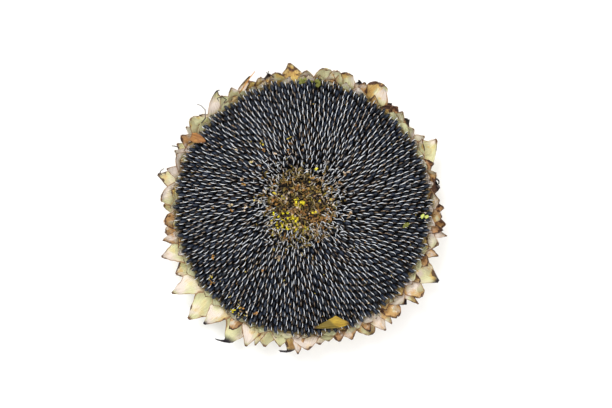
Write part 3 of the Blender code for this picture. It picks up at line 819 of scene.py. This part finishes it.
def crossed_splinters(chance, splinter, foot, heading, lean, wild):
    """Up to two splinters that lie across a blade, the more often the nearer the florets."""
    crossed = []
    for number in range(2):
        if chance.random() < 1.15 * wild:
            end = foot + Vector((chance.gauss(0, 1.7), chance.gauss(0, 1.7))) * MM
            across = heading + chance.gauss(0, 0.75)
            height = face_height(*end) + chance.uniform(-0.4, 1.2) * MM
            tilt, size = chance.gauss(0, 0.2), chance.uniform(0.6, 1.0)
            tone = chance.choice((0.3, 0.5, 0.95, 1.05))
            crossed.append(copy_of(splinter, standing(end, height, across, lean, tilt, size), tone=tone))
    return crossed


def build_chaff(chance):
    """A bowed blade beside each seed, a second one here and there, and short crossed ones round the heart."""
    models = [
        chaff_model("chaff_straight", 6.4 * MM, height=1.0, lip=0.46, bow=0.3),
        chaff_model("chaff_bowed", 6.4 * MM, height=1.2, lip=0.50, bow=0.7),
        chaff_model("chaff_short", 5.4 * MM, height=1.2, lip=0.46, bow=0.5),
        chaff_model("chaff_turned", 6.0 * MM, height=1.1, lip=-0.46, bow=0.4),
    ]
    splinter = chaff_model("chaff_splinter", 4.8 * MM, height=1.4, lip=0.40, bow=0.12)
    blades, loose = [], []
    for n in range(FLORET_PLACES, PLACES):
        spot, turn, share = place(n)
        wild = wildness(spot)
        sideways = Vector((-math.sin(turn), math.cos(turn)))
        for side in (1, -1):
            if side == -1 and chance.random() > 0.55 + 0.35 * (1 - share**2) ** 2:
                continue
            if share > 0.965 and chance.random() < 0.3:
                continue
            size = chance.uniform(0.84, 1.06) * (1 - 0.24 * wild) * (1 - 0.12 * share**4)
            heading = turn + row_turn(share) + chance.gauss(0, 0.08 + 0.20 * wild)
            foot = flared(spot, share) + sideways * ROW_GAP * (0.52 - 0.08 * wild) * side
            foot += Vector((chance.gauss(0, 0.25), chance.gauss(0, 0.25))) * MM * (0.4 + wild)
            lean = lean_at(share) + chance.gauss(0, 0.07 + 0.15 * wild)
            height = face_height(*foot) + (chance.uniform(-1.1, 0.0) + 1.0 * wild * chance.random()) * MM
            pale = chance.gauss(0.84, 0.14) - 0.10 * share**4 - 0.4 * (chance.random() < 0.1)
            if side == -1:
                pale -= 0.42 * (1 - wild)
                height -= 0.5 * MM * (1 - wild)
            shape = standing(foot, height, heading, lean, chance.gauss(0, 0.1 + 0.15 * wild), size)
            model = splinter if wild > chance.uniform(0.15, 0.9) else chance.choice(models)
            (blades if side == 1 else loose).append(copy_of(model, shape, tone=pale))
            loose += crossed_splinters(chance, splinter, foot, heading, lean, wild)
    discard(models + [splinter])
    return joined("chaff", blades), joined("loose_chaff", loose)


def heart_tone(spot, chance):
    """The colour of a floret: that of the nearest patch more or less, or dark brown."""
    if chance.random() < 0.28:
        return chance.uniform(0.0, 0.2)
    nearest = min(HEART_PATCHES, key=lambda patch: math.dist(spot / MM, patch[:2]))
    return nearest[2] + chance.gauss(0, 0.09)


def heap(chance, models, where, pieces, spread, rise, lean, size, blur):
    """Small models dropped round a spot on the seeds, all of about one tone. Spread and rise are in mm."""
    x, y, tone = where
    dropped = []
    for number in range(pieces):
        spot = Vector((x + chance.gauss(0, spread), y + chance.gauss(0, spread))) * MM
        height = face_height(*spot) + chance.uniform(*rise) * MM
        heading, tilt = chance.uniform(0, 6), chance.uniform(0, lean)
        matrix = standing(spot, height, heading, tilt, size=chance.uniform(*size))
        dropped.append(copy_of(chance.choice(models), matrix, tone=tone + chance.gauss(0, blur)))
    return dropped


def strewn(chance, count, middle, reach):
    """Spots scattered evenly over a disc."""
    for number in range(count):
        turn, out = chance.uniform(0, math.tau), reach * math.sqrt(chance.random())
        yield middle + Vector((math.cos(turn), math.sin(turn))) * out


def heart_crowd(chance, models, crumbs):
    """Florets and crumbs by turns on a spiral with a ragged edge, thinned out towards it."""
    placed = []
    for n in range(HEART_CROWD):
        share = math.sqrt((n + 0.5) / HEART_CROWD)
        turn = n * GOLDEN_ANGLE
        rim = Vector((math.cos(turn), math.sin(turn), 0.4))
        reach = HEART_REACH * (1 + 0.26 * noise.noise(rim * 2.4))
        spot = HEART_MIDDLE + rim.xy * share * reach
        if chance.random() < 0.75 * max(0, share - 0.55) / 0.45:
            continue
        height = face_height(*spot) - 0.9 * MM * share + chance.uniform(-1.4, 0.9) * MM
        heading, lean = turn + chance.gauss(0, 0.9), 0.5 * share + chance.gauss(0, 0.5)
        if n % 2:
            kinds, tilt, size = models, chance.gauss(0, 0.5), chance.uniform(0.5, 1.1)
        else:
            kinds, tilt, size = crumbs, 0, chance.uniform(0.45, 1.15)
            height += 0.5 * MM
        matrix = standing(spot, height, heading, lean, tilt, size)
        placed.append(copy_of(chance.choice(kinds), matrix, tone=heart_tone(spot, chance)))
    return placed


def build_florets(chance):
    """Dried florets crowded at the heart, with crumpled lumps, pale threads and yellow clumps among them."""
    models = [floret_model(f"floret_{k}", 6 + k, 1.4 + 0.3 * k, (5.0 - 0.5 * k) * MM) for k in range(3)]
    crumbs = [crumb_model("crumb_round", 0.9), crumb_model("crumb_flat", 0.5), crumb_model("crumb_tall", 1.3)]
    threads = [thread_model("thread_long", 6 * MM, 4.0), thread_model("thread_short", 4.0 * MM, 2.5)]
    placed = heart_crowd(chance, models, crumbs)
    for number in range(STRAYS):
        turn, out = chance.uniform(0, math.tau), chance.gauss(25, 6) * MM
        spot = HEART_MIDDLE + Vector((math.cos(turn), math.sin(turn))) * out
        height = face_height(*spot) + chance.uniform(0.2, 1.2) * MM
        matrix = standing(spot, height, turn, chance.gauss(0.3, 0.5), size=chance.uniform(0.4, 0.8))
        tone = chance.choice(STRAY_TONES)
        placed.append(copy_of(chance.choice(models + crumbs), matrix, tone=tone + chance.gauss(0, 0.05)))
    for where in STRAY_HEAPS:
        placed += heap(chance, models + crumbs, where, **STRAY_HEAP)
    for where in YELLOW_CLUMPS:
        placed += heap(chance, crumbs, where, **YELLOW_HEAP)
    for spot in strewn(chance, STYLES, HEART_MIDDLE, STYLE_REACH):
        height = face_height(*spot) + chance.uniform(1.2, 2.4) * MM
        heading, lean = chance.uniform(0, 6), chance.gauss(0, 0.4)
        matrix = standing(spot, height, heading, lean, size=chance.uniform(0.5, 1.0))
        placed.append(copy_of(chance.choice(threads), matrix, tone=chance.choice(STYLE_TONES)))
    discard(models + crumbs + threads)
    return joined("florets_dried", placed)


def build_scraps(chance):
    """Bits of dried floret that lie loose on the seeds: little heaps, and single ones all over."""
    bits = [
        crumb_model("scrap_round", 0.7),
        crumb_model("scrap_flat", 0.35),
        floret_model("scrap_floret", 7, 1.6, 4 * MM),
    ]
    placed = []
    for where in SCRAPS:
        placed += heap(chance, bits, where, **SCRAP_HEAP)
    for spot in strewn(chance, LOOSE_BITS, Vector((0, 0)), LOOSE_REACH):
        height = face_height(*spot) + chance.uniform(0.4, 1.0) * MM
        heading, lean = chance.uniform(0, 6), chance.uniform(0, 2)
        matrix = standing(spot, height, heading, lean, size=chance.uniform(0.25, 0.6))
        placed.append(copy_of(chance.choice(bits), matrix, tone=chance.choice(LOOSE_TONES)))
    discard(bits)
    return joined("loose_scraps", placed)


def build_green_scraps(chance):
    """Moist green crumbs in small flat heaps on the seeds and along the rim."""
    crumb = crumb_model("green_crumb", 0.6)
    placed = []
    for x, y, old in GREEN_SCRAPS:
        for number in range(5):
            spot = Vector((x + chance.gauss(0, 1.2), y + chance.gauss(0, 0.8))) * MM
            height = face_height(*spot) + chance.uniform(0.4, 1.2) * MM
            heading, lean = chance.uniform(0, 6), chance.uniform(0, 1)
            matrix = standing(spot, height, heading, lean, size=chance.uniform(0.8, 1.5))
            placed.append(copy_of(crumb, matrix, dry=old))
    discard([crumb])
    return joined("green_scraps", placed)


def bract_width(along):
    """The share of its width that a bract has there: all of it at the root, little at the tip."""
    return TIP_WIDTH + (1 - TIP_WIDTH) * (1 - min(1.0, along) ** 1.4) ** 1.15


def bract_spine(bract):
    """The bract's middle line as (share along, distance from the axis, height), foot first."""
    steps = 40
    line, out, up = [], 0.0, 0.0
    for step in range(steps + 1):
        along = step / steps
        bend = max(0.0, (along - CURL_START) / (1 - CURL_START))
        heading = math.radians(bract.lift + bract.curl * bend**1.3)
        line.append((along, out, up))
        out += math.cos(heading) / steps
        up += math.sin(heading) / steps
    root, height = ROOTS[bract.row]
    length = (bract.reach * MM - root) / max(point[1] for point in line)
    free = [(along, root + out * length, height + up * length) for along, out, up in line]
    claw = [(0.0, out * MM, up * MM) for out, up in CLAWS[bract.row]]
    return claw + free


def sampled(line, count):
    """Points at even spacing along a line of (share along, distance, height), with the heading at each."""
    lengths = [0.0]
    for first, second in zip(line, line[1:]):
        lengths.append(lengths[-1] + math.hypot(second[1] - first[1], second[2] - first[2]))
    found = []
    for step in range(count):
        target = lengths[-1] * step / (count - 1)
        number = max(1, next(k for k, reached in enumerate(lengths) if reached >= target - 1e-9))
        first, second = line[number - 1], line[number]
        share = (target - lengths[number - 1]) / (lengths[number] - lengths[number - 1])
        point = [a + (b - a) * share for a, b in zip(first, second)]
        heading = math.atan2(second[2] - first[2], second[1] - first[1])
        found.append((*point, heading))
    return found


def build_bract(bract, number):
    """A papery leaf from a grid: laid along its spine, cupped, wrinkled and frayed, then given a wall."""
    deselect()
    bpy.ops.mesh.primitive_grid_add(
        x_subdivisions=BRACT_ACROSS, y_subdivisions=BRACT_ALONG, size=2, calc_uvs=True
    )
    leaf = bpy.context.object
    line = sampled(bract_spine(bract), BRACT_ALONG + 1)
    for point in leaf.data.vertices:
        across = point.co.x
        along, out, up, heading = line[round((point.co.y + 1) / 2 * BRACT_ALONG)]
        rag = noise.noise(Vector((along * 5, across * 0.8, number * 3.1)))
        wide = bract_width(along) * (1 + 0.16 * rag * abs(across))
        half = bract.width * MM / 2 * wide
        drift = noise.noise(Vector((along * 2, number * 1.7, 0.5))) * 0.10 * along
        hook = bract.hook * MM * max(0.0, (along - 0.8) / 0.2) ** 2
        angle = math.radians(bract.at + bract.lean * along**2) + (half * (across + drift) + hook) / out
        crease = 0.12 * half * (1 - abs(across)) * along * (number % 3 == 0)
        wrinkle = noise.noise(Vector((across * 2.2, along * 4, number * 5.3))) * 0.9 * MM
        wrinkle = wrinkle * (0.25 + 0.75 * along) * (0.5 + bract.dry)
        ridge = math.sin(across * 9 + number) * 0.10 * MM
        lift = CUPPING * half * across**2 * math.sqrt(along) - crease
        lift += (wrinkle + ridge) * min(1.0, along * 5 + 0.15)
        out -= math.sin(heading) * lift
        point.co = (math.cos(angle) * out, math.sin(angle) * out, up + math.cos(heading) * lift)
    add_wall(leaf, LEAF_WALL)
    finish_shape(leaf, f"bract_{number}")
    mark(leaf, green=bract.green, dry=bract.dry, tip=bract.tip)
    return leaf


def build_bract_row(row):
    leaves = [build_bract(bract, number) for number, bract in enumerate(BRACTS) if bract.row == row]
    return joined(f"{row}_bract_leaves", leaves)


def build_collar(chance):
    """Small leaves all round that stand up between the seeds and the bracts, and some that fill notches."""
    small = []
    for number in range(COLLAR_LEAVES):
        at = 360 * (number + chance.uniform(-0.4, 0.4)) / COLLAR_LEAVES
        fresh = any(start < at < end for start, end in FRESH_SIDES)
        green, dry = chance.uniform(0.2, 0.8), chance.choice((0.0, 0.1, 0.2, 0.5, 0.8))
        small.append(
            Bract(
                row="collar",
                at=at,
                lean=chance.uniform(-2, 2),
                reach=chance.uniform(90.4, 92.8),
                width=chance.uniform(8, 17),
                lift=chance.uniform(26, 44),
                curl=chance.uniform(-30, 10),
                green=0.95 if fresh else green,
                dry=0.0 if fresh else dry,
                tip=0.0,
            )
        )
    small += [Bract("upper", at, 0, *rest) for at, *rest in NOTCH_LEAVES]
    leaves = [build_bract(leaf, 100 + number) for number, leaf in enumerate(small)]
    return joined("collar_leaves", leaves)


def build_threads():
    """Each thread is a small ring drawn along its points and thinned towards its end."""
    threads = []
    for number, (radius, tone, *points) in enumerate(THREADS):
        deselect()
        spots = [Vector(point) * MM for point in points]
        bpy.ops.mesh.primitive_circle_add(
            vertices=6, radius=radius * MM, fill_type="NGON", location=spots[0]
        )
        thread = bpy.context.object
        bpy.ops.object.transform_apply(location=True)
        bpy.ops.object.mode_set(mode="EDIT")
        bpy.ops.mesh.select_all(action="SELECT")
        for spot, next_spot in zip(spots, spots[1:]):
            bpy.ops.mesh.extrude_region_move(TRANSFORM_OT_translate={"value": next_spot - spot})
            bpy.ops.transform.resize(value=(0.86, 0.86, 0.86), center_override=next_spot)
        bpy.ops.mesh.select_all(action="SELECT")
        bpy.ops.mesh.normals_make_consistent(inside=False)
        finish_shape(thread, f"thread_{number}")
        mark(thread, tone=tone)
        threads.append(thread)
    return joined("dark_threads", threads)


def widths_at(outline, along):
    """The widths to the right and left of a petal's middle line, straight between the outline's points."""
    for (start, right, left), (end, next_right, next_left) in zip(outline, outline[1:]):
        if along <= end:
            share = (along - start) / (end - start)
            return right + (next_right - right) * share, left + (next_left - left) * share
    return outline[-1][1:]


def build_petal(petal):
    """A withered ray petal from a grid, arched, its edges raised, ribbed and crumpled."""
    deselect()
    bpy.ops.mesh.primitive_grid_add(x_subdivisions=14, y_subdivisions=36, size=2, calc_uvs=True)
    leaf = bpy.context.object
    root, tip = Vector(petal.root) * MM, Vector(petal.tip) * MM
    side = (tip - root).orthogonal().normalized()
    for point in leaf.data.vertices:
        across, along = point.co.x, (point.co.y + 1) / 2
        right, left = widths_at(petal.outline, along)
        reach = across * (left if across > 0 else right) * MM
        reach *= 1 + 0.10 * noise.noise(Vector((along * 9, across, 2.5)))
        spot = root.lerp(tip, along) + side * reach
        crumple = 0.9 * MM * noise.noise(Vector((across * 1.5, along * 4, 7.7)))
        lift = 1.0 * MM + petal.arch * MM * math.sin(math.pi * along) + 0.25 * abs(reach)
        lift += 0.16 * MM * math.sin(across * 11) + crumple
        point.co = (spot.x, spot.y, face_height(spot.x, spot.y) + lift)
    add_wall(leaf, PETAL_WALL)
    finish_shape(leaf, f"{petal.name}_leaf")
    mark(leaf, dry=0.0 if petal is PETALS[0] else 0.8)
    return leaf


def dress(piece, finish, slot, *nodes):
    """Gives a piece its finish and ties it to the frame."""
    piece.data.materials.clear()
    piece.data.materials.append(finish)
    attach(piece, "root")
    if nodes:
        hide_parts(*nodes)


def set_table():
    deselect()
    bpy.ops.mesh.primitive_plane_add(size=6, location=(0, 0, 0))
    table = bpy.context.object
    table.name = "table_top"
    table.data.materials.append(table_finish())


def add_light(name, spot, size, power):
    lamp = bpy.data.lights.new(name, "AREA")
    lamp.shape = "DISK"
    lamp.size = size
    lamp.energy = power
    holder = bpy.data.objects.new(name, lamp)
    holder.location = spot
    holder.rotation_euler = (-Vector(spot)).to_track_quat("-Z", "Y").to_euler()
    bpy.context.scene.collection.objects.link(holder)


def set_lights():
    """A white sky all round, and two soft lamps that look at the head."""
    world = bpy.data.worlds.new("studio")
    world.use_nodes = True
    sky = world.node_tree.nodes["Background"]
    sky.inputs["Color"].default_value = (1, 1, 1, 1)
    sky.inputs["Strength"].default_value = 0.95
    bpy.context.scene.world = world
    bpy.context.scene.view_settings.view_transform = "Standard"
    add_light("window", (-0.5, 0.8, 1.4), size=0.8, power=14)
    add_light("fill", (0.8, -0.5, 1.3), size=1.2, power=8)


def set_camera():
    """Straight above the head, framed as the photograph is."""
    lens, sensor, rim_height = 85, 36, 30 * MM
    width = PHOTO_WIDTH * PIXEL
    camera = bpy.data.cameras.new("camera")
    camera.lens = lens
    camera.sensor_width = sensor
    holder = bpy.data.objects.new("camera", camera)
    x = (PHOTO_MIDDLE[0] - HEAD_MIDDLE[0]) * PIXEL
    y = (HEAD_MIDDLE[1] - PHOTO_MIDDLE[1]) * PIXEL
    holder.location = (x, y, rim_height + width * lens / sensor)
    bpy.context.scene.collection.objects.link(holder)
    bpy.context.scene.camera = holder


def main():
    chance = random.Random(11)
    bract_paper = bract_finish()
    petal_paper = petal_finish()
    dress(build_receptacle(), receptacle_finish(), "receptacle", "receptacle")
    # The seed bed's near-black colour is painted shade between the seeds.
    dress(build_seed_bed(), painted_shade_bed_finish(), "seeds")
    dress(build_seeds(chance), seed_hull(), "seeds", "seeds")
    pale_chaff = chaff_finish()
    for chaff in build_chaff(chance):
        dress(chaff, pale_chaff, "seeds")
    floret = floret_finish()
    dress(build_florets(chance), floret, "florets", "dried_florets")
    dress(build_scraps(chance), floret, "florets")
    dress(build_green_scraps(chance), moist_finish(), "bracts")
    for row in ("upper", "lower"):
        dress(build_bract_row(row), bract_paper, "bracts", f"{row}_bracts")
    dress(build_collar(chance), bract_paper, "bracts")
    dress(build_threads(), thread_finish(), "bracts")
    for petal in PETALS:
        dress(build_petal(petal), petal_paper, "petals", petal.name)
    set_table()
    set_lights()
    set_camera()


main()
